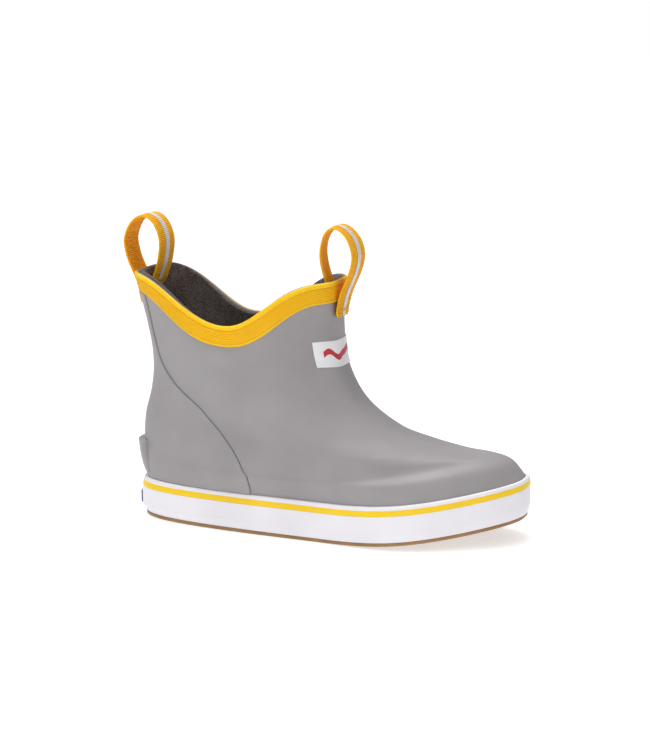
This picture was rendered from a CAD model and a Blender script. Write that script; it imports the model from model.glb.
"""Looks of a child's ankle deck boot, right foot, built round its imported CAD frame.

Lengths are millimetres until a mesh or a light is made, and metres in Blender. The frame is the
part's own: +X to the toe, -Y the outer side, +Z up, with the ground at 0.
"""

import math

import bmesh
import bpy
import numpy as np
from mathutils import Matrix, Vector


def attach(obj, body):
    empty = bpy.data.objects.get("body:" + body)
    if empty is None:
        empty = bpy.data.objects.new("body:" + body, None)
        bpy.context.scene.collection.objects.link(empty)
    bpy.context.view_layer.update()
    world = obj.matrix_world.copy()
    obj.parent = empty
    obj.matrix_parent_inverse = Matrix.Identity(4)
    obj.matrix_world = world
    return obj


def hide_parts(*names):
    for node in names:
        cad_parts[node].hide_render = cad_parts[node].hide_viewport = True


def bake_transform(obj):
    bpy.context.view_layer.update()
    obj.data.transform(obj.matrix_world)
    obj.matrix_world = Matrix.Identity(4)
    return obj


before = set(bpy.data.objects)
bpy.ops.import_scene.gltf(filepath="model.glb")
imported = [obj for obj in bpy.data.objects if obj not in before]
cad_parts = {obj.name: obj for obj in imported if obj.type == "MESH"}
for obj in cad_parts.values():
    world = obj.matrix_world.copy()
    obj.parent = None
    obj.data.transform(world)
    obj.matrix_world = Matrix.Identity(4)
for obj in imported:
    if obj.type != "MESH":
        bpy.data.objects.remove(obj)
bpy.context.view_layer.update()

MM = 0.001
MM_PER_CM = 10

# The boot's surface, as in the CAD source: level lines from the sidewall's top edge (0) to the
# collar (9). Front x and z, back x and z, dip of the line at the sides, then the half widths at
# the heel, at a quarter, a half and three quarters of the length, and at the toe.
LEVELS = np.array([
    [101.5, 33, -103, 21, 0, 31, 30, 31.5, 38.8, 25.5],
    [94.3, 41.2, -104.5, 30, 1.5, 28, 32, 32, 39, 25.5],
    [84, 44.3, -104.5, 41, 8.5, 24.5, 30, 31.5, 35.5, 23.5],
    [78, 44, -103.5, 54.5, 6.8, 23, 28.5, 32.5, 34.2, 22.5],
    [64, 46.2, -100, 67, 6, 22.5, 27, 32, 34, 23.5],
    [41.5, 52.5, -98, 79, 5.5, 22.5, 27, 32, 32, 21.5],
    [20, 66.5, -98, 91.5, 6.5, 23, 27, 31, 30, 20.5],
    [8.5, 85, -100, 104.5, 10, 24, 27, 29, 28.5, 21],
    [5, 105, -103, 119, 17.5, 26.5, 27.5, 26.5, 29, 23.5],
    [4.5, 131, -105, 131.5, 24, 31.5, 27.5, 24, 32, 28],
])
COLLAR = len(LEVELS) - 1
RIM = -1  # the level of the upper's lower rim, on the outsole
ANKLE = 5  # the level above which left and right halves are alike
INNER_SIDE = [1, 1.04, 0.84, 0.95, 1.15]  # how much the inner side's width differs in the foot
SIDEWALL_T = [3.5, 2.5, 2.5, 2, 2.4]  # sidewall thickness from the heel to the toe
SEAM = [  # angle of the heel panel's edge, by half level
    71.2, 72, 72.5, 73, 73.1, 72.5, 70.6, 67.9, 65, 60.8,
    55.8, 42.7, 33.9, 29.1, 27.6, 27, 28, 28.7, 29.1,
]
TOE_TURN = 9.5  # how far the toe is turned to the inner side
TOE_LIFT = 12.5
SPRING_START = 1  # where the sole starts to rise, and over what length
SPRING_LEN = 102.9

# Heights over the sole's ground line
CORE_BASE = 4.65
BED_BASE = 10.6
COVER_BASE = 14.75
COVER_TOP = 15.55
SIDEWALL_TOP = 21.0
STRIPE_LOW, STRIPE_HIGH = 16.0, 19.0

# Thicknesses, and depths of the lining's two faces under the upper's outer face
UPPER_T = 1.8
LIP_T = 1.0
LINING_IN = 3.1
LINED_IN = 4.1
PANEL_T = 0.8
BINDING_W = 10.0
BINDING_T = 0.95
WEB_W = 16.5
WEB_T = 1.3
WEB_STRIPE_W = 4.0
WEB_RIB = 0.95

FINE = 240  # points round the boot
TURN = np.radians(np.arange(20, 180, 20))  # angles of the points on a rounded rim


# ---------------------------------------------------------------- the boot's surface


def along(values, u):
    """A smooth curve through the last axis of values, at u counted from the first one."""
    values = np.asarray(values, float)
    u = np.asarray(u, float)
    count = values.shape[-1]
    before = 2 * values[..., :1] - values[..., 1:2]
    after = 2 * values[..., -1:] - values[..., -2:-1]
    padded = np.concatenate([before, values, after], -1)
    i = np.clip(np.floor(u), 0, count - 2).astype(int)
    f = (u - i)[..., None]
    at = i[..., None] + np.arange(4)
    picked = np.take_along_axis(np.broadcast_to(padded, at.shape[:-1] + (count + 2,)), at, -1)
    a, b, c, d = (picked[..., k : k + 1] for k in range(4))
    value = b + 0.5 * f * (c - a + f * (2 * a - 5 * b + 4 * c - d + f * (3 * b - a - 3 * c + d)))
    return value[..., 0]


def mix(a, b, f):
    return a + (b - a) * f


def smooth(low, high, value):
    f = np.clip((value - low) / (high - low), 0, 1)
    return f * f * (3 - 2 * f)


def unit(v):
    return v / np.maximum(np.linalg.norm(v, axis=-1, keepdims=True), 1e-9)


def spring(x):
    return TOE_LIFT * np.maximum(0, (x - SPRING_START) / SPRING_LEN) ** 2


def skin(u, a):
    """Outer face of the upper at level u and angle a: 0 heel, 90 outer side, 180 toe."""
    u, a = np.broadcast_arrays(np.asarray(u, float), np.asarray(a, float))
    top = np.maximum(u, 0)
    front_x, front_z, back_x, back_z, dip = (along(LEVELS[:, k], top) for k in range(5))
    widths = np.stack([along(LEVELS[:, k], top) for k in range(5, 10)], -1)
    part = (top + 1) / (COLLAR + 1)
    sine, cosine = np.sin(np.radians(a)), np.cos(np.radians(a))
    s, side = (1 - cosine) / 2, np.abs(sine)
    foot = np.maximum(0, 1 - (top + 1) / (ANKLE + 1))
    inner = np.where(sine < 0, 1 + foot * (along(INNER_SIDE, 4 * s) - 1), 1)
    half_w = along(widths, 4 * s) * inner
    x = mix(back_x, front_x, s)
    y = -np.sign(sine) * half_w * side ** (0.71 - 0.17 * part) + TOE_TURN * foot * s**3
    rise = mix(np.maximum(0, 2 * s - 1) ** 2, s, np.clip(top / 4, 0, 1))
    z = mix(back_z, front_z, rise) - dip * side ** (2 + 3.5 * part**2)
    return np.stack([x, y, np.where(u < 0, mix(z, CORE_BASE + spring(x), -u), z)], -1)


def upward(u, a):
    """Direction up the wall, within its surface."""
    step = 0.02
    return unit(skin(np.minimum(COLLAR, u + step), a) - skin(np.maximum(RIM, u - step), a))


def over(u, a, d=0.0):
    """The surface moved outwards by d."""
    run = skin(u, a + 1) - skin(u, a - 1)
    return skin(u, a) + np.asarray(d, float)[..., None] * unit(np.cross(run, upward(u, a)))


def below(a, drop):
    """Level of the wall at a distance under the collar's top line."""
    run = skin(COLLAR, a + 2) - skin(COLLAR, a - 2)
    tilt = np.linalg.norm(run[..., :2], axis=-1) / np.linalg.norm(run, axis=-1)
    length = np.linalg.norm(skin(COLLAR, a) - skin(COLLAR - 1, a), axis=-1)
    return COLLAR - drop / (tilt * length)


def collar_point(a, drop, d):
    """A point at a distance under the collar's top line, or above it where drop is negative."""
    level = below(a, np.maximum(drop, 0))
    rise = np.maximum(-np.asarray(drop, float), 0)[..., None]
    return over(level, a, d) + rise * upward(level, a)


def wall_level(h):
    return -1 + (h - CORE_BASE) / (SIDEWALL_TOP - CORE_BASE)


def ring(count):
    """Angles of evenly spaced points round a level line."""
    f = 4 * np.arange(count) / count
    quarter = np.floor(f)
    g = f - quarter
    return 90 * (quarter + np.where(quarter % 2 == 0, g**1.35, 1 - (1 - g) ** 1.35))


def sole_point(a, out, wall, h):
    """A point at height h over the sole's ground line, out from the level 0 line in plan."""
    line = skin(0, a)
    run = skin(0, a + 1) - skin(0, a - 1)
    normal = unit(np.stack([run[..., 1], -run[..., 0]], -1))
    far = out + wall * along(SIDEWALL_T, 2 * (1 - np.cos(np.radians(a))))
    plan = line[..., :2] + np.asarray(far, float)[..., None] * normal
    return np.concatenate([plan, (h + spring(plan[..., 0]))[..., None]], -1)


# ---------------------------------------------------------------- mesh tools


def lengths(points, axis, closed):
    """Running length along an axis of a grid of points, averaged over the other axis."""
    step = np.linalg.norm(np.roll(points, -1, axis) - points, axis=-1).mean(1 - axis)
    run = np.concatenate([[0], np.cumsum(step)])
    return run if closed else run[:-1]


def link(obj):
    bpy.context.scene.collection.objects.link(obj)
    return obj


def turn_outwards(mesh, recalculate=False):
    """Turns a closed mesh's faces outwards."""
    bm = bmesh.new()
    bm.from_mesh(mesh)
    if recalculate:
        bmesh.ops.recalc_face_normals(bm, faces=bm.faces)
    if bm.calc_volume(signed=True) < 0:
        bmesh.ops.reverse_faces(bm, faces=bm.faces)
    bm.to_mesh(mesh)
    bm.free()


def add_mesh(name, points, faces, material, uv=None, sharp=42):
    """A closed mesh from points in millimetres, with its faces turned outwards."""
    mesh = bpy.data.meshes.new(name)
    mesh.from_pydata((np.asarray(points, float).reshape(-1, 3) * MM).tolist(), [], [list(f) for f in faces])
    if uv is not None:
        layer = mesh.uv_layers.new(name="Length")
        layer.data.foreach_set("uv", np.asarray(uv, float).ravel())
    bm = bmesh.new()
    bm.from_mesh(mesh)
    bmesh.ops.remove_doubles(bm, verts=bm.verts, dist=1e-7)
    bmesh.ops.dissolve_degenerate(bm, edges=bm.edges, dist=1e-8)
    bm.to_mesh(mesh)
    bm.free()
    turn_outwards(mesh)
    mesh.polygons.foreach_set("use_smooth", [True] * len(mesh.polygons))
    mesh.set_sharp_from_angle(angle=math.radians(sharp))
    mesh.materials.append(material)
    return link(bpy.data.objects.new(name, mesh))


def loft(name, sections, closed, material, sharp=42):
    """A solid through closed sections (count x points x 3). An open one gets flat ends."""
    count, points = sections.shape[:2]
    rows = count if closed else count - 1
    i, j = (v.ravel() for v in np.meshgrid(np.arange(rows), np.arange(points), indexing="ij"))
    i2, j2 = (i + 1) % count, (j + 1) % points
    quads = np.stack([i * points + j, i2 * points + j, i2 * points + j2, i * points + j2], 1)
    run, girth = lengths(sections, 0, closed), lengths(sections, 1, True)
    corners = [(i, j), (i + 1, j), (i + 1, j + 1), (i, j + 1)]
    uv = np.stack([np.stack([run[a], girth[b]], -1) for a, b in corners], 1)
    faces, uvs = quads.tolist(), uv.reshape(-1, 2).tolist()
    for end in () if closed else (0, count - 1):
        for k in range(points // 2 - 1):
            quad = [k, k + 1, points - 2 - k, points - 1 - k]
            faces.append([end * points + q for q in (quad if end else quad[::-1])])
            uvs += [[run[end], girth[q]] for q in quad]
    return add_mesh(name, sections, faces, material, np.array(uvs) / MM_PER_CM, sharp)


def attribute(obj, name, values):
    """A number on each vertex, for the material to read."""
    if len(obj.data.vertices) != np.size(values):
        raise RuntimeError(f"{obj.name} lost points when it was cleaned")
    layer = obj.data.attributes.new(name, "FLOAT", "POINT")
    layer.data.foreach_set("value", np.asarray(values, np.float32).ravel())


def slab(name, top, bottom, material, sharp=42):
    """A solid between two grids of points of the same size."""
    return loft(name, np.concatenate([top, bottom[:, ::-1]], 1), False, material, sharp)


def edge_fractions(count, length, radius):
    """Fractions from 0 to 1 with close steps near both ends, where an edge is rounded."""
    near = np.array([0, 0.03, 0.12, 0.28, 0.5, 0.75]) * radius / length
    middle = np.linspace(radius / length, 1 - radius / length, count)
    return np.concatenate([near, middle, 1 - near[::-1]])


def edge_grid(rows, height, columns, width, radius):
    """Shares of height and width over a rectangle, and each point's distance from its edge."""
    f = edge_fractions(rows, height, radius)[:, None]
    g = edge_fractions(columns, width, radius)[None, :]
    f, g = np.broadcast_arrays(f, g)
    return f, g, np.minimum(np.minimum(f, 1 - f) * height, np.minimum(g, 1 - g) * width)


def round_over(distance, radius):
    """Height share of a rounded edge at a distance from it."""
    f = np.clip(distance / radius, 0, 1)
    return np.sqrt(np.maximum(0, 1 - (1 - f) ** 2))


def patch(name, levels, angles, height, base, material, border, radius, sharp=50):
    """A raised piece on the boot's surface. levels and angles are grids, and border is the
    distance of each grid point from the piece's edge."""
    lift = height * round_over(border, radius)
    return slab(name, over(levels, angles, base + lift), over(levels, angles, base), material, sharp)


def rows_of_stitches(name, centres, forward, out, length, thick, material):
    """Short rounded stitches at centres, each lying along forward."""
    segs, sides = 6, 6
    t = np.linspace(0, 1, segs)
    shape = np.sqrt(np.clip(np.sin(np.pi * np.clip(t, 0.03, 0.97)), 0, 1))
    ang = np.arange(sides) * 2 * np.pi / sides
    across = unit(np.cross(out, forward))
    body = (
        centres[:, None, None]
        + forward[:, None, None] * (length * (t - 0.5))[None, :, None, None]
        + across[:, None, None] * (thick / 2 * shape[:, None] * np.cos(ang))[None, :, :, None]
        + out[:, None, None] * (thick / 2 * shape[:, None] * np.sin(ang))[None, :, :, None]
    )
    faces = []
    for base in range(0, len(centres) * segs * sides, segs * sides):
        end = base + (segs - 1) * sides
        for row in range(base, end, sides):
            for j in range(sides):
                a, b = row + j, row + (j + 1) % sides
                faces.append([a, a + sides, b + sides, b])
        faces += [range(base, base + sides), range(end + sides - 1, end - 1, -1)]
    return add_mesh(name, body, faces, material, None, 80)


# ---------------------------------------------------------------- materials


def srgb(code):
    """A colour written as RRGGBB, in linear light."""
    parts = [int(code[k : k + 2], 16) / 255 for k in (0, 2, 4)]
    return tuple(p / 12.92 if p <= 0.04045 else ((p + 0.055) / 1.055) ** 2.4 for p in parts) + (1,)


class Nodes:
    """Adds shader nodes to a tree and wires them."""

    def __init__(self, tree):
        self.tree = tree

    def node(self, kind, **settings):
        made = self.tree.nodes.new("ShaderNode" + kind)
        for key, value in settings.items():
            setattr(made, key, value)
        return made

    def link(self, source, target):
        self.tree.links.new(source, target)

    def put(self, target, value):
        if isinstance(value, bpy.types.NodeSocket):
            self.link(value, target)
        else:
            target.default_value = value

    def math(self, operation, *values):
        made = self.node("Math", operation=operation)
        for socket, value in zip(made.inputs, values):
            self.put(socket, value)
        return made.outputs[0]

    def dot(self, vector, direction):
        made = self.node("VectorMath", operation="DOT_PRODUCT")
        self.link(vector, made.inputs[0])
        made.inputs[1].default_value = direction
        return made.outputs["Value"]


class Graph(Nodes):
    """A material with its shader nodes."""

    def __init__(self, name, **surface):
        self.material = bpy.data.materials.new(name)
        self.material.use_nodes = True
        super().__init__(self.material.node_tree)
        self.tree.nodes.clear()
        self.surface = self.node("BsdfPrincipled")
        self.link(self.surface.outputs[0], self.node("OutputMaterial").inputs[0])
        for key, value in surface.items():
            self.surface.inputs[key.replace("_", " ")].default_value = value

    def place(self, stretch=(1, 1, 1), turn=0.0):
        """Places in the row frame, in metres, stretched and turned about Z."""
        mapping = self.node("Mapping")
        mapping.inputs["Scale"].default_value = stretch
        mapping.inputs["Rotation"].default_value = (0, 0, turn)
        self.link(self.node("TexCoord").outputs["Object"], mapping.inputs["Vector"])
        return mapping.outputs[0]

    def run(self):
        """Length along a piece and round it, in centimetres."""
        split = self.node("SeparateXYZ")
        self.link(self.node("UVMap", uv_map="Length").outputs[0], split.inputs[0])
        return split.outputs[0], split.outputs[1]

    def noise(self, scale, detail=2.0, stretch=(1, 1, 1), rough=0.5):
        made = self.node("TexNoise")
        self.link(self.place(stretch), made.inputs["Vector"])
        made.inputs["Scale"].default_value = scale
        made.inputs["Detail"].default_value = detail
        made.inputs["Roughness"].default_value = rough
        return made.outputs[0]

    def cells(self, scale, stretch=(1, 1, 1)):
        made = self.node("TexVoronoi")
        self.link(self.place(stretch), made.inputs["Vector"])
        made.inputs["Scale"].default_value = scale
        return made.outputs["Distance"]

    def wave(self, source, pitch):
        """From 0 to 1 and back over each pitch, in centimetres."""
        turned = self.math("MULTIPLY", source, 2 * math.pi / pitch)
        return self.math("MULTIPLY_ADD", self.math("COSINE", turned), 0.5, 0.5)

    def spread(self, value, low, high):
        """value from 0..1 to low..high."""
        return self.math("MULTIPLY_ADD", value, high - low, low)

    def contrast(self, value, low, high):
        """0 below low, 1 above high."""
        made = self.node("MapRange")
        made.inputs["From Min"].default_value = low
        made.inputs["From Max"].default_value = high
        self.link(value, made.inputs["Value"])
        return made.outputs[0]

    def patches(self, low, high, *kind, **settings):
        """Noise with more contrast."""
        return self.contrast(self.noise(*kind, **settings), low, high)

    def read(self, name):
        return self.node("Attribute", attribute_name=name).outputs["Fac"]

    def blend(self, share, first, second):
        made = self.node("Mix", data_type="RGBA")
        self.put(made.inputs[0], share)
        self.put(made.inputs[6], first)
        self.put(made.inputs[7], second)
        return made.outputs[2]

    def between(self, share, first, second):
        """From one colour to another, both written as RRGGBB."""
        return self.blend(share, srgb(first), srgb(second))

    def tint(self, colour, mask, share, code):
        """The colour with a share of another one where mask is 1."""
        return self.blend(self.math("MULTIPLY", mask, share), colour, srgb(code))

    def bump(self, height, distance, before=None):
        made = self.node("Bump")
        made.inputs["Distance"].default_value = distance
        self.link(height, made.inputs["Height"])
        if before is not None:
            self.link(before, made.inputs["Normal"])
        return made.outputs[0]

    def edges(self):
        """Near 1 on a convex edge, 0 elsewhere."""
        return self.contrast(self.node("NewGeometry").outputs["Pointiness"], 0.52, 0.62)

    def finish(self, colour, rough, normal):
        self.put(self.surface.inputs["Base Color"], colour)
        self.put(self.surface.inputs["Roughness"], rough)
        self.link(normal, self.surface.inputs["Normal"])
        return self.material


def rubber(name, light, dark, worn, rough=0.48, waviness=0.00022):
    """Moulded rubber: soft unevenness, a fine grain, and edges rubbed a little lighter."""
    g = Graph(name, Specular_IOR_Level=0.32)
    tone = g.patches(0.35, 0.65, 28, 3)
    grain = g.noise(2600, 2)
    colour = g.between(tone, dark, light)
    colour = g.tint(colour, g.contrast(grain, 0.4, 0.7), 0.10, dark)
    colour = g.tint(colour, g.edges(), 0.5, worn)
    colour = g.blend(g.read("crevice"), colour, srgb("2E2C2B"))
    shine = g.spread(g.noise(70, 3), rough - 0.07, rough + 0.07)
    normal = g.bump(grain, 0.000018, g.bump(g.noise(42, 1), waviness))
    return g.finish(colour, shine, normal)


def gum_rubber():
    g = Graph("gum_rubber", Specular_IOR_Level=0.4, Subsurface_Weight=0.05)
    g.surface.inputs["Subsurface Radius"].default_value = (0.003, 0.0015, 0.0008)
    tone = g.patches(0.3, 0.7, 60, 4, rough=0.6)
    specks = g.patches(0.58, 0.7, 1500, 2)
    colour = g.between(tone, "906A42", "A47E52")
    colour = g.tint(colour, specks, 0.25, "6E4E30")
    colour = g.tint(colour, g.edges(), 0.4, "B09064")
    rough = g.spread(g.noise(150, 3), 0.42, 0.6)
    return g.finish(colour, rough, g.bump(g.noise(1800, 3), 0.00003))


def woven(name, light, dark, deep, yarn, rough=0.62, sheen=0.25, glow=0.0):
    """Ribbed narrow fabric. The ribs are in the mesh, and single yarns show as bump."""
    g = Graph(
        name, Specular_IOR_Level=0.18, Sheen_Weight=sheen, Sheen_Roughness=0.4,
        Subsurface_Weight=glow, Subsurface_Scale=1.0, Sheen_Tint=(1, 0.6, 0.12, 1),
    )
    g.surface.inputs["Subsurface Radius"].default_value = (0.004, 0.0018, 0.0004)
    lengthwise, across = g.run()
    yarns = g.wave(across, yarn)
    slant = g.wave(g.math("ADD", lengthwise, g.math("MULTIPLY", across, 0.8)), yarn * 1.3)
    weave = g.math("MULTIPLY", yarns, g.spread(slant, 0.55, 1.0))
    colour = g.between(g.patches(0.3, 0.7, 220, 3), dark, light)
    colour = g.tint(colour, g.math("SUBTRACT", 1.0, weave), 0.30, dark)
    colour = g.blend(g.read("trough"), colour, srgb(deep))
    fuzz = g.noise(5200, 2)
    normal = g.bump(fuzz, 0.00004, g.bump(weave, 0.00010))
    return g.finish(colour, g.spread(fuzz, rough - 0.08, rough + 0.12), normal)


def reflective():
    """Silvery reflective yarn woven in over the webbing."""
    g = Graph("reflective_stripe", Specular_IOR_Level=0.6)
    lengthwise, across = g.run()
    twill = g.wave(g.math("ADD", lengthwise, across), 0.055)
    tone = g.patches(0.3, 0.7, 500, 3)
    colour = g.between(tone, "DFDBDA", "F1EEEC")
    colour = g.tint(colour, twill, 0.18, "B9B6B6")
    colour = g.tint(colour, g.read("trough"), 0.5, "A8A4A2")
    return g.finish(colour, g.spread(g.noise(900, 2), 0.32, 0.5), g.bump(twill, 0.00006))


def thread():
    g = Graph("thread", Specular_IOR_Level=0.35, Sheen_Weight=0.2)
    strands = g.noise(2400, 1, (1, 1, 2.5))
    colour = g.between(strands, "D99A12", "F6BE2A")
    return g.finish(colour, g.spread(strands, 0.5, 0.7), g.bump(strands, 0.00006))


def lining_textile():
    """Dark napped lining with streaks down the wall."""
    g = Graph("lining_textile", Specular_IOR_Level=0.25, Sheen_Weight=0.3, Sheen_Roughness=0.5)
    streaks = g.patches(0.35, 0.7, 420, 3, (1, 1, 0.12))
    blotches = g.patches(0.35, 0.65, 90, 4)
    knit = g.cells(1500, (1, 1, 0.6))
    pile = g.patches(0.42, 0.62, 1100, 3)
    colour = g.between(blotches, "352B28", "564944")
    colour = g.tint(colour, streaks, 0.45, "776B65")
    colour = g.tint(colour, pile, 0.55, "7A6C66")
    colour = g.tint(colour, knit, 0.5, "231E1D")
    normal = g.bump(g.noise(3200, 3), 0.00010, g.bump(pile, 0.00025, g.bump(knit, 0.00018)))
    return g.finish(colour, g.spread(streaks, 0.75, 0.9), normal)


def cloth(name, light, dark, pitch, depth):
    """Flat plain-woven cloth seen close, with its weave in the row frame's X and Y."""
    g = Graph(name, Specular_IOR_Level=0.3, Sheen_Weight=0.2, Sheen_Roughness=0.45)
    split = g.node("SeparateXYZ")
    g.link(g.place((100, 100, 100)), split.inputs[0])
    warp, weft = g.wave(split.outputs[0], pitch), g.wave(split.outputs[1], pitch)
    weave = g.math("MULTIPLY", warp, weft)
    colour = g.between(g.patches(0.3, 0.7, 150, 4), dark, light)
    colour = g.tint(colour, weave, 0.35, dark)
    return g.finish(colour, g.spread(weave, 0.7, 0.85), g.bump(weave, depth))


def foam(name, light, dark, grain=900):
    g = Graph(name, Specular_IOR_Level=0.3)
    pores = g.cells(grain)
    colour = g.between(pores, dark, light)
    return g.finish(colour, g.spread(pores, 0.85, 0.7), g.bump(pores, 0.00025))


def fibre_board():
    g = Graph("fibre_board", Specular_IOR_Level=0.3)
    fibres = g.noise(700, 5, (0.25, 1, 1), 0.7)
    colour = g.between(g.contrast(fibres, 0.35, 0.65), "A88D66", "CBB48C")
    return g.finish(colour, g.spread(fibres, 0.75, 0.9), g.bump(fibres, 0.00008))


def label_weave(name, tones, specular, patches, rough, relief, shadow=None):
    """Finely woven label, whose weave also shows through its print."""
    g = Graph(name, Specular_IOR_Level=specular)
    pitch = 0.035
    weave = g.math("MULTIPLY", *(g.wave(way, pitch) for way in g.run()))
    colour = g.between(g.patches(0.3, 0.7, patches, 3), *tones)
    if shadow:
        colour = g.tint(colour, weave, 0.12, shadow)
    return g.finish(colour, g.spread(weave, *rough), g.bump(weave, relief))


MATERIALS = {
    "grey": rubber("grey_rubber", "9E9A9B", "959192", "AAA6A6"),
    "white": rubber("white_rubber", "ECEAEF", "E3E1E7", "F4F3F6", 0.4, 0.00012),
    "yellow": rubber("yellow_rubber", "F7D022", "EFC41A", "F9DA50", 0.42, 0.00008),
    "badge": rubber("badge_rubber", "243A78", "1B2D63", "4A5C94", 0.38, 0.00005),
    "cement": rubber("seam_cement", "5C5957", "4F4C4B", "6A6765", 0.5, 0.00003),
    "gum": gum_rubber(),
    "webbing": woven("webbing", "FFD228", "FFC218", "EE8A06", 0.05, 0.66, 0.3, 0.35),
    "tape": woven("binding_tape", "FFD62A", "FFC81C", "EA9C06", 0.045, 0.62, 0.15),
    "reflective": reflective(),
    "thread": thread(),
    "lining": lining_textile(),
    "bed_cloth": cloth("footbed_textile", "4A4340", "38322F", 0.11, 0.00012),
    "bed_foam": foam("footbed_foam", "5B5B5F", "46464A"),
    "core_foam": foam("foam", "D9D0BC", "C2B79F", 600),
    "board": fibre_board(),
    "label": label_weave(
        "label_fabric", ("E2E3E6", "F1F1F3"), 0.4, 120, (0.5, 0.62), 0.00003, "BFC0C4"
    ),
    "print": label_weave("label_print", ("B4232E", "C8323B"), 0.45, 400, (0.42, 0.55), 0.00002),
}


# ---------------------------------------------------------------- the upper


def fix(obj, slot, *nodes, body="root"):
    """The piece rides on a body, stands for its CAD nodes and takes a material slot."""
    if nodes:
        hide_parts(*nodes)
    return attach(obj, body)


def wall_ring(name, profile, material, count=FINE, sharp=42):
    """A solid round the boot. profile gives a level, a depth and a rise for each section point."""
    angles = ring(count)[:, None]
    level, out, rise = (np.array(column, float)[None, :] for column in zip(*profile))
    level, out, rise = (np.broadcast_to(v, (count, len(profile))) for v in (level, out, rise))
    points = over(level, angles, out) + rise[..., None] * upward(level, angles)
    return loft(name, points, True, material, sharp)


def lip_depth(u):
    """Depth of the upper's inner face, which comes nearer its outer face at the collar."""
    return mix(UPPER_T, LIP_T, float(smooth(COLLAR - 0.5, COLLAR, u)))


def build_upper():
    """The moulded wall with a rounded rim at the collar."""
    crown, half = 0.25, LIP_T / 2
    outer = [RIM, -0.7, -0.35] + list(np.arange(0, COLLAR + 0.001, 0.1))
    inner = list(np.arange(COLLAR, 0.4, -0.25)) + [0, RIM]
    profile = [(u, 0, 0) for u in outer]
    profile += [(COLLAR, half * (math.cos(t) - 1), crown * math.sin(t)) for t in TURN]
    profile += [(u, -lip_depth(u), 0) for u in inner]
    shell = wall_ring("upper_shell_moulded", profile, MATERIALS["grey"])
    return fix(shell, "grey_rubber", "upper_shell")


def lining_depth(u):
    """Depth of the lining's outer face: over the stiffeners low down, and on the upper above."""
    return -mix(LINING_IN, lip_depth(u) + 0.1, float(smooth(4.2, 5.2, u)))


def build_lining():
    """Textile lining, with a rounded top edge just under the collar's rim."""
    top, low, crown = COLLAR - 0.05, wall_level(BED_BASE), 0.9
    outer_rows = [low, 0, 0.1] + list(np.arange(0.5, top, 0.25)) + [top]
    inner_rows = [top - 0.03] + list(np.arange(COLLAR - 0.2, 0.05, -0.15)) + [0, low]
    out = lining_depth(top)
    middle, half = (out - LINED_IN) / 2, (out + LINED_IN) / 2
    profile = [(u, lining_depth(u), 0) for u in outer_rows]
    profile += [(top, middle + half * math.cos(t), crown * math.sin(t)) for t in TURN]
    profile += [(u, -LINED_IN, 0) for u in inner_rows]
    lining = wall_ring("lining_textile_sock", profile, MATERIALS["lining"])
    return fix(lining, "lining_textile", "lining")


PANEL_FOOT = 0.015  # level of the heel panel's lower edge
PANEL_GAP = 0.4  # from the panel's top edge up to the tape


def panel_edge(rows):
    """At shares of the panel's height: level, angle of its edge, and millimetres to a degree."""
    level = mix(PANEL_FOOT, COLLAR, rows)
    seam = along(SEAM, 2 * level)
    scale = np.linalg.norm(skin(level, seam + 0.5) - skin(level, seam - 0.5), axis=-1)
    return level, seam, scale


def panel_level(angles, rows):
    """Level at shares of the panel's height, which ends under the tape."""
    return mix(PANEL_FOOT, below(angles, BINDING_W + PANEL_GAP), rows)


def build_heel_panel():
    """The panel laid over the heel and the back of the shaft, with a rolled edge at its seam."""
    height, half_w, radius, base = 110, 40, 0.8, 0.03
    rows = edge_fractions(70, height, 0.8)
    inside = np.linspace(0, 1, 26)
    near = np.array([0.9, 0.6, 0.38, 0.22, 0.1, 0.03, 0]) * radius
    _, seam, scale = panel_edge(rows[:, None])
    half = np.concatenate([(seam - radius / scale) * inside, seam - near / scale], 1)
    angles = np.concatenate([-half[:, :0:-1], half], 1)
    levels = panel_level(angles, np.broadcast_to(rows[:, None], angles.shape))
    gap = np.concatenate([(1 - inside) * half_w + radius, near])
    gap = np.concatenate([gap[:0:-1], gap])[None, :]
    border = np.minimum(gap, np.minimum(rows, 1 - rows)[:, None] * height)
    panel = patch(
        "heel_panel_overlay", levels, angles, PANEL_T, base, MATERIALS["grey"], border, radius
    )
    return fix(panel, "grey_rubber", "heel_panel")


def build_panel_seam():
    """The thin line of cement in the corner along the heel panel's edge."""
    radius, shift, sides = 0.2, 0.12, 8
    rows = np.linspace(0.02, 1, 160)
    turn = np.arange(sides) * 2 * np.pi / sides
    _, seam, scale = panel_edge(rows)
    for side, where in ((-1, "inner"), (1, "outer")):
        angle = side * (seam + shift / scale)
        around = angle[:, None] + radius * np.cos(turn)[None, :] / scale[:, None]
        height = np.broadcast_to(0.02 + radius * 0.8 * np.sin(turn), around.shape)
        points = over(panel_level(angle, rows)[:, None], around, height)
        bead = loft(f"heel_panel_cement_{where}", points, False, MATERIALS["cement"], 60)
        fix(bead, "grey_rubber")


def build_heel_kick():
    """The ledge on the heel, with a rounded tip."""
    low, high, spread = 0.3, 2.0, 20
    foot_rise, tip_rise, edge = 0.25, 3.3, 1.2
    width, height = 27, 20
    base = PANEL_T + 0.05
    f, g, _ = edge_grid(14, height, 18, width, edge)
    levels = mix(low, high, f)
    angles = spread * np.sign(2 * g - 1) * np.abs(2 * g - 1) ** 1.5
    rise = mix(foot_rise, tip_rise, f)
    sides = round_over(np.minimum(g, 1 - g) * width, np.minimum(edge, rise))
    ends = np.minimum(round_over((1 - f) * height, 0.8), round_over(f * height, 0.3))
    top = over(levels, angles, base + rise * np.minimum(sides, ends))
    bottom = over(levels, angles, np.full(levels.shape, base))
    kick = slab("heel_kick_ledge", top, bottom, MATERIALS["grey"], 50)
    return fix(kick, "grey_rubber", "heel_kick")


# ---------------------------------------------------------------- the collar


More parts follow.
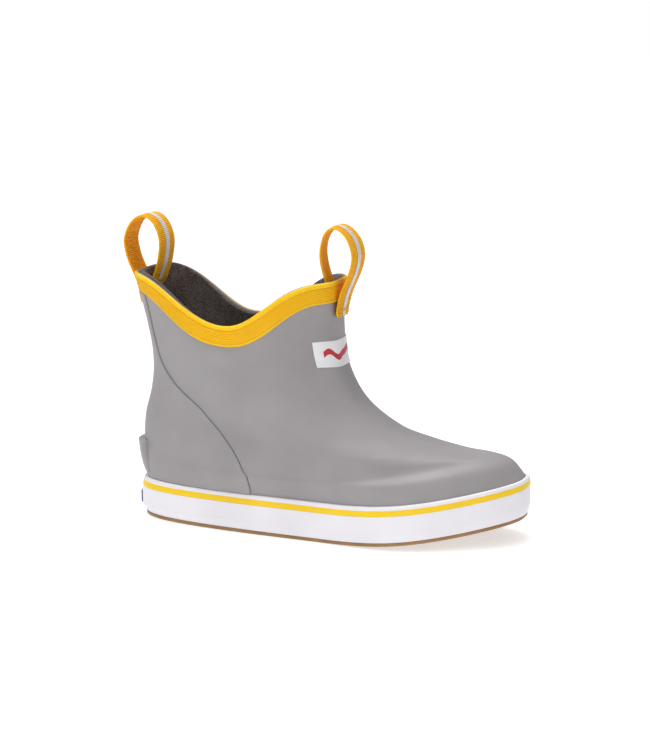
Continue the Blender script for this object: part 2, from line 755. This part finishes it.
# Distances under the collar's top of the tape's two sewn rows and of its lower edge, and how far
# it stands over the top
FIRST_SEAM, SECOND_SEAM = 2.25, 8.7
TAPE_END = BINDING_W + 0.25
TAPE_RISE = 0.3


def dent(drop, row, width):
    """1 on a sewn row, and 0 away from it."""
    return np.exp(-(((drop - row) / width) ** 2))


def binding_height(drop):
    """Height of the tape over the upper: a fold along the top, a sewn line, then a soft body."""
    fold_t, swell = 1.12, 0.10
    fold = fold_t * round_over(drop + TAPE_RISE, 1.0)
    body = BINDING_T + swell * np.sin(np.pi * np.clip((drop - 2.2) / 8, 0, 1))
    height = mix(np.where(drop < 2.2, fold, body), body, smooth(1.9, 2.5, drop))
    height = height - 0.36 * dent(drop, FIRST_SEAM, 0.28) - 0.16 * dent(drop, SECOND_SEAM, 0.35)
    return height * round_over(TAPE_END - drop, 0.55)


def build_binding():
    """Ribbed elastic tape sewn round the collar."""
    pitch, depth, count, back_rows = 0.85, 0.08, 330, 8
    fold = np.linspace(0, np.pi / 2, 7)
    drops = np.unique(np.concatenate([
        1 - np.cos(fold) - TAPE_RISE,
        np.linspace(0.7, 9.6, 88),
        TAPE_END - 0.65 * (1 - np.sin(fold)),
    ]))
    rib = np.cos(2 * np.pi * drops / pitch)
    ribbed = smooth(2.5, 2.9, drops) * (1 - smooth(9.3, 9.8, drops))
    height = binding_height(drops) + depth * rib * ribbed
    back = np.linspace(BINDING_W + 0.2, 0.1, back_rows)
    angles = ring(count)[:, None]
    outer = collar_point(np.broadcast_to(angles, (count, len(drops))), drops[None, :], height[None, :])
    inner = collar_point(
        np.broadcast_to(angles, (count, back_rows)), back[None, :], np.full((1, back_rows), 0.03)
    )
    tape = loft(
        "collar_binding_tape", np.concatenate([outer, inner], 1), True, MATERIALS["tape"], 60
    )
    hollow = 0.85 * (1 - rib) / 2 * ribbed + 0.4 * dent(drops, FIRST_SEAM, 0.3)
    attribute(tape, "trough", np.tile(np.concatenate([hollow, 0 * back]), count))
    return fix(tape, "binding_tape", "collar_binding")


def stitch_line(drop, pitch, skip):
    """Centres and directions of evenly spaced stitches round the collar, at a distance under its
    top. Stitches hidden under the webbing are left out."""
    sunk = 0.02
    fine = np.linspace(0, 360, 3601)[:-1]

    def on_tape(angle, depth=0.0):
        drops = np.full(angle.shape, drop)
        return collar_point(angle, drops, binding_height(drops) - depth)

    line = on_tape(fine)
    step = np.linalg.norm(np.roll(line, -1, 0) - line, axis=-1)
    run = np.concatenate([[0], np.cumsum(step)])
    count = int(round(run[-1] / pitch))
    angles = np.interp((np.arange(count) + 0.5) * run[-1] / count, run, np.append(fine, 360))
    here, ahead = on_tape(angles, sunk), on_tape(angles + 0.3, sunk)
    level = below(angles, drop)
    out = unit(over(level, angles, np.ones(count)) - skin(level, angles))
    keep = np.abs(here[:, 1]) > skip
    return here[keep], unit(ahead - here)[keep], out[keep]


def build_collar_stitching():
    """Two sewn rows through the tape."""
    length, pitch, thick = 2.0, 2.6, 0.42
    rows = [stitch_line(drop, pitch, WEB_W / 2 + 0.4) for drop in (FIRST_SEAM, SECOND_SEAM)]
    parts = [np.concatenate(part) for part in zip(*rows)]
    seam = rows_of_stitches("collar_stitching_rows", *parts, length, thick, MATERIALS["thread"])
    return fix(seam, "thread", "collar_stitching")


LABEL_LOW, LABEL_HIGH = 7.1, 7.8  # levels of the label's lower and upper edge


def build_label():
    """White label on the front of the shaft."""
    spread, height, width, thick, gap, radius = 33.5, 16, 62, 0.45, 0.04, 0.25
    f, g, border = edge_grid(16, height, 60, width, radius)
    levels, angles = mix(LABEL_LOW, LABEL_HIGH, f), 180 + spread * (2 * g - 1)
    label = patch(
        "shin_label_patch", levels, angles, thick, gap, MATERIALS["label"], border, radius
    )
    return fix(label, "label_fabric", "shin_label")


def build_print():
    """A plain printed wave of two periods."""
    spread, height, width, thick, base = 25, 3.5, 46, 0.1, 0.5
    swing, half = 0.09, 0.08
    f, g, border = edge_grid(5, height, 90, width, 0.2)
    wave = swing * np.sin(2 * np.pi * 2 * g - 2 * np.pi)
    level = (LABEL_LOW + LABEL_HIGH) / 2 + wave + half * (2 * f - 1)
    angles = 180 + spread * (2 * g - 1)
    ink = patch("shin_label_wave", level, angles, thick, base, MATERIALS["print"], border, 0.15)
    return fix(ink, "label_print", "shin_label_print")


# ---------------------------------------------------------------- the sole


def sole_ring(name, profile, material, count=300, sharp=40):
    """A solid round the sole. profile(heel) gives height, distance out and wall share for each
    section point, where heel is 1 at the heel and 0 at the toe."""
    angles = ring(count)
    heel = ((1 + np.cos(np.radians(angles))) / 2) ** 2
    points = [sole_point(angles, out, wall, h) for h, out, wall in profile(heel)]
    return loft(name, np.stack(points, 1), True, material, sharp)


def wall_inset(h, heel):
    """How far the sidewall's face stands in from its widest line, at height h."""
    low = (1.0 + 1.7 * heel) * np.clip((8 - h) / 6, 0, 1) ** 2.2
    high = (0.35 + 1.2 * heel) * np.clip((h - 12) / 9, 0, 1) ** 1.6
    edge = 0.9 * (1 - round_over(SIDEWALL_TOP - h, 1.0))
    return low + high + edge


def sidewall_profile(heel):
    """Section of the sidewall, with the stripe's shallow seat."""
    foot, foot_inset, seat, slack = 2.0, 0.35, 0.22, 0.03
    low, high = STRIPE_LOW - slack, STRIPE_HIGH + slack
    heights = [2.15, 2.5, 3.2, 4, 5, 6, 7, 8, 10, 12, 14, low - 0.5, low - 0.04]
    tops = [high + 0.04, 18.6, 19.2, 19.7, 20.1, 20.4, 20.65, 20.83, 20.94, 20.99, SIDEWALL_TOP]
    rows = [(foot, -wall_inset(foot, heel) - foot_inset, 1)]
    rows += [(h, -wall_inset(h, heel), 1) for h in heights]
    rows += [(h, -wall_inset(h, heel) - seat, 1) for h in (low, (low + high) / 2, high)]
    rows += [(h, -wall_inset(h, heel), 1) for h in tops]
    return rows + [(h, 0.02, 0) for h in (SIDEWALL_TOP, 15.0, 8.0, foot)]


def stripe_profile(heel):
    """Section of the stripe: it stands a little proud of the sidewall, with rounded edges."""
    seat, proud = 0.2, 0.16
    shape = [
        (0, 0), (0.02, 0.6), (0.08, 0.9), (0.2, 1), (0.5, 1.06),
        (0.8, 1), (0.92, 0.9), (0.98, 0.6), (1, 0),
    ]
    face = [(mix(STRIPE_LOW, STRIPE_HIGH, f), v) for f, v in shape]
    rows = [(h, proud * v - wall_inset(h, heel), 1) for h, v in face]
    return rows + [(h, -seat - wall_inset(h, heel), 1) for h in (STRIPE_HIGH, STRIPE_LOW)]


def build_sidewall():
    wall = sole_ring("sidewall_foxing", sidewall_profile, MATERIALS["white"])
    stripe = sole_ring("sidewall_stripe_inlay", stripe_profile, MATERIALS["yellow"])
    fix(wall, "white_rubber", "sidewall")
    return fix(stripe, "yellow_rubber", "sidewall_stripe")


def closing_face(edge, height, columns):
    """Points and faces that fill a ring: rows across it, with a fan at the heel and the toe."""
    half = len(edge) // 2
    t = np.linspace(0, 1, columns)[None, :, None]
    grid = mix(edge[1:half][:, None], edge[:half:-1][:, None], t)
    flat = grid.reshape(-1, 3)
    gap = np.linalg.norm(flat[:, None, :2] - edge[None, :, :2], axis=-1).min(1)
    inner = np.ones(grid.shape[:2], bool)
    inner[:, 0] = inner[:, -1] = False
    flat[:, 2] = np.where(inner.ravel(), height(flat[:, 0], gap), flat[:, 2])
    rows = len(grid)
    faces = [
        [a, a + columns, a + columns + 1, a + 1]
        for i in range(rows - 1) for a in range(i * columns, (i + 1) * columns - 1)
    ]
    heel, last = rows * columns, (rows - 1) * columns
    faces += [[heel, j, j + 1] for j in range(columns - 1)]
    faces += [[heel + 1, last + j + 1, last + j] for j in range(columns - 1)]
    return list(flat) + [edge[0], edge[half]], faces


def plate(name, rings, bottom, top, material, columns=18):
    """A solid with rings of points from its lower to its upper edge. bottom and top give the
    height of the closing faces from x and the distance to the edge."""
    count = rings.shape[1]
    points, faces = list(rings.reshape(-1, 3)), []
    for i in range(len(rings) - 1):
        for k in range(count):
            a, b = i * count + k, i * count + (k + 1) % count
            faces.append([a, b, b + count, a + count])
    for edge, height in ((rings[0], bottom), (rings[-1], top)):
        more, quads = closing_face(edge, height, columns)
        faces += [[len(points) + q for q in quad] for quad in quads]
        points += more
    obj = add_mesh(name, points, faces, material)
    turn_outwards(obj.data, recalculate=True)
    return obj


# The tread's chevron grooves. An arm runs back by TREAD_TIP over TREAD_HALF across.
TREAD_START, TREAD_END, TREAD_PITCH = -112, 104, 8.0
TREAD_TIP, TREAD_HALF = 10.0, 50.0
TREAD_DEPTH, TREAD_BORDER = 1.5, 6.0
GROOVE_W = 1.6


def tread_cutter():
    """Chevron bars, one for each tread groove, that end inside the sole's border."""
    under, overlap, stop_count = -1.0, -0.004, 7
    t = np.linspace(0, 1, 60)
    sides = [
        (side, sole_point(np.linspace(start, 180, 361), -TREAD_BORDER, 0, 0))
        for side, start in ((-1, 0), (1, 360))
    ]
    points, faces = [], []
    for x in np.arange(TREAD_START + TREAD_PITCH / 2, TREAD_END, TREAD_PITCH):
        for side, line in sides:
            arm_x, arm_y = x - TREAD_TIP * t, side * TREAD_HALF * t
            room = np.interp(arm_x, line[:, 0], np.abs(line[:, 1]) * (np.sign(line[:, 1]) == side))
            inside = (arm_x > line[0, 0]) & (arm_x < line[-1, 0]) & (np.abs(arm_y) < room)
            if inside.sum() < 6 or not inside[0]:
                continue
            base = len(points)
            for s in np.linspace(overlap, t[inside][-1], stop_count):
                left, y = x - TREAD_TIP * max(s, 0), side * TREAD_HALF * s
                for px in (left, left + GROOVE_W):
                    points += [(px, y, under), (px, y, TREAD_DEPTH + float(spring(px)))]
            end = base + 4 * (stop_count - 1)
            for a in range(base, end, 4):
                b = a + 4
                faces += [[a, a + 1, b + 1, b], [a + 2, b + 2, b + 3, a + 3]]
                faces += [[a + 1, a + 3, b + 3, b + 1], [a, b, b + 2, a + 2]]
            faces += [[base, base + 2, base + 3, base + 1], [end, end + 1, end + 3, end + 2]]
    mesh = bpy.data.meshes.new("tread_cutter")
    mesh.from_pydata((np.array(points) * MM).tolist(), [], faces)
    turn_outwards(mesh, recalculate=True)
    return link(bpy.data.objects.new("tread_cutter", mesh))


def build_outsole():
    """Gum rubber plate with a rounded lower edge and cut chevron grooves."""
    shelf, top, tuck = 1.98, 4.45, -0.1
    edge = [
        (0.0, 1.0), (0.06, 0.62), (0.25, 0.28), (0.6, 0.06),
        (1.0, 0), (1.75, 0), (1.95, 0.08), (shelf, 0.3),
    ]
    angles = ring(FINE)
    back = 1.2 + 1.1 * ((1 + np.cos(np.radians(angles))) / 2) ** 2
    rings = [sole_point(angles, -back - inset, 1, h) for h, inset in edge]
    rings += [sole_point(angles, tuck, 0, h) for h in (shelf, top)]
    sole = plate(
        "outsole_gum", np.stack(rings), lambda x, gap: spring(x), lambda x, gap: top + spring(x),
        MATERIALS["gum"],
    )
    cutter = tread_cutter()
    cut = sole.modifiers.new("tread", "BOOLEAN")
    cut.operation, cut.solver, cut.object, cut.use_self = "DIFFERENCE", "EXACT", cutter, True
    bpy.context.view_layer.update()
    made = bpy.data.meshes.new_from_object(sole.evaluated_get(bpy.context.evaluated_depsgraph_get()))
    sole.modifiers.clear()
    sole.data = made
    bpy.data.objects.remove(cutter)
    made.set_sharp_from_angle(angle=math.radians(35))
    return fix(sole, "gum_rubber", "outsole")


def build_badge():
    """Plain badge on the back of the sidewall, with a raised frame."""
    width, height, low = 24.0, 6.0, 6.5
    thick, radius, hollow, base = 0.6, 0.3, 0.22, 0.02
    f, g, border = edge_grid(12, height, 26, width, radius)
    fine = np.linspace(-30, 30, 1201)
    angles = np.interp(width / 2 - g * width, -sole_point(fine, 0, 1, 0)[:, 1], fine)
    lift = thick * round_over(border, radius) - hollow * smooth(0.9, 1.2, border)
    h = low + f * height
    face = base - wall_inset(h, 1.0)
    top, bottom = (sole_point(angles, out, 1, h) for out in (face + lift, face))
    badge = slab("heel_badge_plain", top, bottom, MATERIALS["badge"], 50)
    return fix(badge, "badge_rubber", "heel_badge")


def build_footbed():
    """Foam footbed with a raised heel cup, and its textile cover."""
    angles, out = ring(FINE), -LINED_IN - 0.8
    bed_top, columns = COVER_BASE - 0.15, 22
    cup_rise, cup_width = 3.2, 6

    def cup(x):
        return cup_rise * (1 - smooth(-45, 25, x))

    def cupped(height):
        return lambda x, gap: height + spring(x) + cup(x) * np.exp(-((gap / cup_width) ** 2))

    def layered(rows):
        return np.stack([sole_point(angles, out + shift, 0, h) for h, shift in rows])

    rise = cup(sole_point(angles, out, 0, 0)[:, 0])
    low, high = BED_BASE, bed_top + rise
    bed = plate(
        "footbed_foam_body", layered([(low, -0.4), (low + 0.2, 0), (high - 0.4, 0), (high, -0.3)]),
        lambda x, gap: BED_BASE + spring(x), cupped(bed_top), MATERIALS["bed_foam"], columns,
    )
    low, high = COVER_BASE + rise, COVER_TOP + rise
    cover = plate(
        "footbed_cover_textile",
        layered([(low, -0.35), (low + 0.2, -0.02), (high - 0.25, 0), (high, -0.3)]),
        cupped(COVER_BASE), cupped(COVER_TOP), MATERIALS["bed_cloth"], columns,
    )
    fix(bed, "footbed_foam", "footbed")
    return fix(cover, "footbed_textile", "footbed_cover")


def dress_inner_nodes():
    """Materials of the hidden inner parts, whose CAD shapes stay."""
    wanted = {
        "midsole_core": ("core_foam", "foam"),
        "insole_board": ("board", "fibre_board"),
        "heel_stiffener": ("board", "fibre_board"),
        "toe_reinforcement": ("board", "fibre_board"),
    }
    for node, (material, slot) in wanted.items():
        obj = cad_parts[node]
        obj.data.materials.clear()
        obj.data.materials.append(MATERIALS[material])


# ---------------------------------------------------------------- the pull loops


def smooth_path(keys, side, step):
    """Points a step apart on a smooth curve through keys, with their directions, the webbing's
    outward directions, and their places along the curve."""
    keys = np.asarray(keys, float)
    u = np.linspace(0, len(keys) - 1, 4000)
    fine = np.stack([along(keys[:, k], u) for k in (0, 1)], -1)
    run = np.concatenate([[0], np.cumsum(np.linalg.norm(np.diff(fine, axis=0), axis=1))])
    places = np.arange(0, run[-1], step)
    path = np.stack([np.interp(places, run, fine[:, k]) for k in (0, 1)], -1)
    direction = unit(np.gradient(path, axis=0))
    normal = side * np.stack([direction[:, 1], -direction[:, 0]], -1)
    return path, direction, normal, places


def middle_angle(side):
    """The boot's front for side 1, and its back for side -1."""
    return 180.0 if side > 0 else 0.0


def loop_keys(side, outer_tab, inner_tab, free):
    """Line of a loop's webbing in the XZ plane, from the end of the outer tab, over the top, to
    the end of the inner tab. Each tab is given by the levels of its end and of the place where it
    leaves the collar."""
    outer_d, inner_d = 1.25 + WEB_T / 2, -(LINED_IN + 0.15 + WEB_T / 2)

    def tab(levels, depth):
        return [over(u, middle_angle(side), depth)[[0, 2]] for u in levels]

    outer = tab(np.linspace(*outer_tab, 4), outer_d)
    return outer + free + tab(np.linspace(*inner_tab[::-1], 3), inner_d)


def strip_section(width, thick):
    """Rounded outline of the webbing's cross-section, from one edge round to the same edge."""
    r, n = thick * 0.42, 4
    flat = np.linspace(-(width / 2 - r), width / 2 - r, 13)
    corner = np.radians(np.linspace(0, 90, n + 1))
    half_w, half_t = width / 2 - r, thick / 2 - r
    pts = [(w, thick / 2) for w in flat]
    pts += [(half_w + r * math.sin(t), half_t + r * math.cos(t)) for t in corner[1:]]
    pts += [(half_w + r * math.cos(t), -half_t - r * math.sin(t)) for t in corner]
    pts += [(w, -thick / 2) for w in flat[::-1][1:]]
    pts += [(-half_w - r * math.sin(t), -half_t - r * math.cos(t)) for t in corner[1:]]
    pts += [(-half_w - r * math.cos(t), half_t + r * math.sin(t)) for t in corner[:-1]]
    return np.array(pts)


def strip(name, keys, side, twist, width, thick, raise_by, end_radius, material, rib_depth):
    """Webbing along a path in the XZ plane. Near its sewn ends it follows the boot's curve."""
    path, _, normal, run = smooth_path(keys, side, WEB_RIB / 8)
    section = strip_section(width, thick)
    phase = np.cos(2 * np.pi * run / WEB_RIB)
    corner = np.clip(end_radius - np.minimum(run, run[-1] - run), 0, end_radius)
    narrow = 1 - (end_radius - np.sqrt(np.maximum(end_radius**2 - corner**2, 0))) * 2 / width
    across = section[None, :, 0] * (narrow * (1 + 0.008 * phase))[:, None]
    height = section[None, :, 1] * (1 + rib_depth * (phase - 1) / 2)[:, None] + raise_by
    middle = middle_angle(side)
    top = skin(COLLAR, middle)[2]
    follow = 1 - smooth(top - 3, top + 9, path[:, 1])
    level = np.clip(COLLAR - (top - path[:, 1]) / 20, 7, COLLAR)[:, None]
    round_by = np.degrees(np.arcsin(np.clip((np.abs(across) / 30) ** 1.85, 0, 0.5)))
    bow = skin(level, middle + side * round_by)[..., 0] - skin(level, middle)[..., 0]
    bow = bow * follow[:, None]
    turn = np.radians(np.interp(run / run[-1], *zip(*twist)))[:, None]
    points = np.stack([
        path[:, None, 0] + normal[:, None, 0] * height + bow - across * np.sin(turn),
        across * np.cos(turn),
        path[:, None, 1] + normal[:, None, 1] * height,
    ], -1)
    obj = loft(name, points, False, material, 70)
    attribute(obj, "trough", np.broadcast_to((0.95 * (1 - phase) / 2)[:, None], height.shape))
    return obj


def build_loop(where, side, outer_tab, inner_tab, twist, free):
    """One pull loop: a single strip of webbing, sewn to both faces of the collar."""
    keys = loop_keys(side, outer_tab, inner_tab, free)
    web = strip(
        f"{where}_loop_webbing", keys, side, twist, WEB_W, WEB_T, 0, 2.2, MATERIALS["webbing"], 0.36
    )
    line = strip(
        f"{where}_loop_reflective", keys, side, twist, WEB_STRIPE_W, 0.22, WEB_T / 2 + 0.06, 0.3,
        MATERIALS["reflective"], 0.25,
    )
    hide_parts(f"{where}_pull_loop", f"{where}_loop_tabs")
    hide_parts(f"{where}_loop_stripe")
    for piece in (web, line):
        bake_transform(piece)
    return keys


def build_bartacks(where, side, keys):
    """Zigzag bars of thread across the sewn ends of a loop, outside and inside the collar."""
    step, from_end, count, band, half = 0.1, 3.4, 26, 2.0, WEB_W / 2 - 1.4
    length, thick, sunk, over_stripe = 2.1, 0.36, 0.02, 0.2
    level, bow_share = 8.3, 0.6 if side > 0 else 1
    path, direction, normal, _ = smooth_path(keys, side, step)
    k = int(from_end / step)
    centres, forward, out = [], [], []
    for at, t, n in ((path[i], direction[i], normal[i]) for i in (k, len(path) - 1 - k)):
        for i in range(count):
            y = mix(-half, half, (i + 0.5) / count)
            slope = (1 if i % 2 else -1) * half / count * 1.8
            on_stripe = abs(y) < WEB_STRIPE_W / 2 + 0.2
            lift = WEB_T / 2 - sunk + (over_stripe if on_stripe else 0)
            bow = float(skin(level, math.degrees((abs(y) / 30) ** 1.85))[0] - skin(level, 0)[0])
            centres.append((at[0] + n[0] * lift - side * bow * bow_share, y, at[1] + n[1] * lift))
            forward.append((t[0] * band, slope, t[1] * band))
            out.append((n[0], 0, n[1]))
    tacks = rows_of_stitches(
        f"{where}_loop_zigzag_tacks", np.array(centres), unit(np.array(forward)), np.array(out),
        length, thick, MATERIALS["thread"],
    )
    return fix(tacks, "thread", f"{where}_loop_bartacks")


REAR_LOOP = dict(
    where="rear", side=-1, outer_tab=(7.65, 8.25), inner_tab=(8.2, 8.3),
    twist=((0, 0), (0.5, 0), (0.7, -3), (1, -3)),
    free=[
        (-106.8, 126.3), (-108.7, 130.5), (-110.7, 135), (-112.3, 140), (-113.2, 146),
        (-112.1, 151), (-109.8, 155.4), (-106.5, 158.6), (-102.8, 159.9), (-99.1, 159.1),
        (-96.1, 156.6), (-93.8, 152.6), (-92.5, 148), (-92.4, 144), (-92.9, 140), (-94, 135),
        (-95.7, 130.2), (-97.3, 126),
    ],
)
FRONT_LOOP = dict(
    where="front", side=1, outer_tab=(8.3, 8.42), inner_tab=(8.5, 8.9),
    twist=((0, 0), (0.15, -3), (0.4, -3), (0.52, 2), (0.66, 9), (0.85, 9), (1, 0)),
    free=[
        (7.2, 118.9), (8.1, 122.6), (9.5, 126.4), (11.2, 130.2), (12.9, 134.4), (14.3, 139),
        (14.9, 143.8), (13.9, 149), (11.6, 153.4), (8.3, 156.7), (4.6, 158.2), (0.9, 157.2),
        (-1.9, 153.8), (-3.6, 149.2), (-4.1, 144.2), (-3.6, 139.5), (-2.5, 135.3),
    ],
)


# ---------------------------------------------------------------- stage, light and camera


def build_stage():
    """Pale floor under the boot."""
    size, cells, height = 16.0, 32, -0.00005
    line = np.linspace(-size, size, cells + 1)
    points = [(x, y, height) for x in line for y in line]
    corners = [i * (cells + 1) + j for i in range(cells) for j in range(cells)]
    mesh = bpy.data.meshes.new("floor")
    mesh.from_pydata(points, [], [(a, a + cells + 1, a + cells + 2, a + 1) for a in corners])
    g = Graph("floor_paper", Specular_IOR_Level=0.1, Emission_Strength=0.6)
    colour = g.blend(g.noise(3, 2), (0.56, 0.56, 0.56, 1), (0.58, 0.58, 0.58, 1))
    mesh.materials.append(g.finish(colour, 0.9, g.bump(g.noise(400, 2), 0.00002)))
    link(bpy.data.objects.new("floor", mesh))


def area_light(name, place, size, power):
    """A round lamp turned to the middle of the boot."""
    data = bpy.data.lights.new(name, "AREA")
    data.shape, data.size, data.energy = "DISK", size, power
    lamp = link(bpy.data.objects.new(name, data))
    lamp.location = place
    towards = Vector((0, 0, 0.06)) - Vector(place)
    lamp.rotation_euler = towards.to_track_quat("-Z", "Y").to_euler()


def build_light():
    """Soft studio light: a surround that is brighter overhead and weaker beyond the heel and the
    toe, a broad key from the left and a top light. The surround looks white behind the floor."""
    low, high, side_loss = 0.1, 1.32, 0.95
    overhead, sideways = Vector((-0.16, -0.20, 0.96)).normalized(), (0.93, 0.36, 0)
    world = bpy.data.worlds.new("studio")
    world.use_nodes = True
    n = Nodes(world.node_tree)
    direction = n.node("TexCoord").outputs["Generated"]
    ramp = n.node("MapRange")
    ramp.inputs["To Min"].default_value, ramp.inputs["To Max"].default_value = low, high
    n.link(n.dot(direction, overhead), ramp.inputs["Value"])
    side = n.dot(direction, sideways)
    share = n.math("MULTIPLY_ADD", n.math("MULTIPLY", side, side), -side_loss, 1)
    strength = n.math("MULTIPLY", ramp.outputs[0], share)
    shown = n.math("MAXIMUM", strength, n.node("LightPath").outputs["Is Camera Ray"])
    background = world.node_tree.nodes["Background"]
    background.inputs[0].default_value = (1, 1, 1, 1)
    n.link(shown, background.inputs[1])
    bpy.context.scene.world = world
    area_light("key", (-0.6, -1.5, 1.2), 0.9, 4)
    area_light("top", (-0.2, 0.05, 1.7), 1.1, 16.5)


def build_camera():
    """Long lens from the front outer side, a little above the boot."""
    azimuth, elevation, roll = 21.1726, 11.8262, -0.2615
    distance, aim = 1121.233, (-3.5416, 0, 80.5326)
    lens = 104.025
    a, e, r = (math.radians(v) for v in (azimuth, elevation, roll))
    back = Vector((math.sin(a) * math.cos(e), -math.cos(a) * math.cos(e), math.sin(e)))
    right = Vector((math.cos(a), math.sin(a), 0))
    up = back.cross(right)
    right, up = right * math.cos(r) + up * math.sin(r), up * math.cos(r) - right * math.sin(r)
    data = bpy.data.cameras.new("camera")
    data.lens, data.sensor_width = lens, 36
    data.clip_start, data.clip_end = 0.01, 30
    camera = link(bpy.data.objects.new("camera", data))
    turned = Matrix((right, up, back)).transposed().to_4x4()
    camera.matrix_world = Matrix.Translation((Vector(aim) + back * distance) * MM) @ turned
    bpy.context.scene.camera = camera


for build in (
    build_camera, build_light, build_stage, build_upper, build_lining, build_heel_panel,
    build_panel_seam, build_heel_kick, build_binding, build_collar_stitching, build_label, build_print,
    build_outsole, build_sidewall, build_badge, build_footbed, dress_inner_nodes,
):
    build()
for loop in (REAR_LOOP, FRONT_LOOP):
    build_bartacks(loop["where"], loop["side"], build_loop(**loop))

bpy.context.scene.view_settings.view_transform = "Standard"
